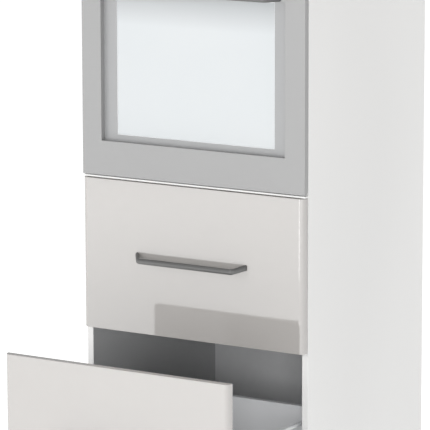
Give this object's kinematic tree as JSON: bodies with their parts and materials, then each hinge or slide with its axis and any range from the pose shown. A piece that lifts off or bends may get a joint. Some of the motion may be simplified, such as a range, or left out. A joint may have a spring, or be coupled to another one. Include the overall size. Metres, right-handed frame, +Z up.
{
  "type": "tall oven cabinet",
  "caption": "Tall kitchen cabinet with a built-in oven, deep pull-outs below it on full-extension runners and a hinged cupboard above, on a plinth.",
  "frame": {"origin": "on the floor, at mid-width, under the middle of the plinth board's thickness", "axes": "+X to the right seen from the front, +Y from the front to the back, +Z up"},
  "size_m": [0.6, 0.9205, 2],
  "materials": {
    "carcass_white": "satin",
    "inside_grey": "satin",
    "front_gloss": "gloss",
    "handle_steel": "brushed",
    "drawer_metal": "satin",
    "zinc_steel": "satin",
    "oven_frame": "satin",
    "oven_steel": "satin",
    "window_glass": "clear",
    "display_glass": "gloss",
    "enamel": "gloss",
    "wool": "matt",
    "seal": "matt",
    "black_plastic": "matt",
    "knob_metal": "satin",
    "wire": "polished",
    "heater": "matt"
  },
  "bodies": {
    "cabinet": {"left_side_panel": "carcass_white", "right_side_panel": "carcass_white", "bottom_panel": "carcass_white", "oven_shelf": "carcass_white", "shelf_nosing": "carcass_white", "niche_top_panel": "carcass_white", "top_panel": "carcass_white", "lower_back_panel": "inside_grey", "upper_back_panel": "inside_grey", "plinth_board": "carcass_white", "levelling_feet": "black_plastic", "adjustable_shelf": "carcass_white", "shelf_pins": "zinc_steel", "hinge_arms": "zinc_steel", "wall_brackets": "zinc_steel", "cabinet_runners": "zinc_steel", "oven_casing": "zinc_steel", "oven_front_frame": "oven_steel", "oven_cavity": "enamel", "oven_insulation": "wool", "rack_supports": "wire", "wire_rack": "wire", "baking_tray": "enamel", "fan_cover": "enamel", "fan_motor": "black_plastic", "grill_element": "heater", "door_gasket": "seal", "oven_hinge_brackets": "zinc_steel", "control_panel": "oven_steel", "display_glass": "display_glass", "terminal_box": "black_plastic", "fixing_screws": "zinc_steel"},
    "upper_door": {"upper_door": "front_gloss", "upper_door_handle": "handle_steel", "hinge_cups": "zinc_steel"},
    "upper_pullout": {"upper_front": "front_gloss", "upper_handle": "handle_steel", "upper_metal_sides": "drawer_metal", "upper_base": "inside_grey", "upper_back_wall": "drawer_metal", "upper_gallery_rails": "drawer_metal"},
    "upper_middle_runners": {"upper_middle_runners": "zinc_steel"},
    "lower_pullout": {"lower_front": "front_gloss", "lower_handle": "handle_steel", "lower_metal_sides": "drawer_metal", "lower_base": "inside_grey", "lower_back_wall": "drawer_metal", "lower_gallery_rails": "drawer_metal"},
    "lower_middle_runners": {"lower_middle_runners": "zinc_steel"},
    "oven_door": {"door_frame": "oven_frame", "door_mask": "oven_steel", "door_window": "window_glass", "door_inner_tray": "oven_steel", "door_inner_glass": "window_glass", "door_handle": "handle_steel", "door_hinge_pins": "zinc_steel"},
    "left_knob": {"left_knob": "knob_metal"},
    "right_knob": {"right_knob": "knob_metal"},
    "fan": {"fan_rotor": "zinc_steel"}
  },
  "joints": [
    {"name": "upper_door_turn", "type": "hinge", "parent": "cabinet", "child": "upper_door", "pos_m": [-0.2907, -0.0612, 1.7], "axis": [0, 0, -1], "range_deg": [0, 95]},
    {"name": "upper_pullout_slide", "type": "slide", "parent": "cabinet", "child": "upper_pullout", "axis": [0, -1, 0], "range_m": [0, 0.48]},
    {"name": "upper_runner_slide", "type": "slide", "parent": "cabinet", "child": "upper_middle_runners", "axis": [0, -1, 0], "range_m": [0, 0.24]},
    {"name": "lower_pullout_slide", "type": "slide", "parent": "cabinet", "child": "lower_pullout", "axis": [0, -1, 0], "range_m": [-0.322, 0.158]},
    {"name": "lower_runner_slide", "type": "slide", "parent": "cabinet", "child": "lower_middle_runners", "axis": [0, -1, 0], "range_m": [-0.161, 0.079]},
    {"name": "oven_door_drop", "type": "hinge", "parent": "cabinet", "child": "oven_door", "pos_m": [0, -0.0605, 0.8355], "axis": [1, 0, 0], "range_deg": [0, 90], "stiffness_Nm_per_rad": 12, "springref_deg": -11.46},
    {"name": "left_knob_turn", "type": "hinge", "parent": "cabinet", "child": "left_knob", "pos_m": [-0.19, -0.075, 1.36425], "axis": [0, 1, 0], "range_deg": [0, 270]},
    {"name": "right_knob_turn", "type": "hinge", "parent": "cabinet", "child": "right_knob", "pos_m": [0.19, -0.075, 1.36425], "axis": [0, 1, 0], "range_deg": [0, 270]},
    {"name": "fan_spin", "type": "hinge", "parent": "cabinet", "child": "fan", "pos_m": [0, 0.38, 1.086], "axis": [0, 1, 0], "continuous": true}
  ],
  "couplings": [
    {"joint": "upper_runner_slide", "follows": "upper_pullout_slide", "ratio": 0.5},
    {"joint": "lower_runner_slide", "follows": "lower_pullout_slide", "ratio": 0.5}
  ]
}
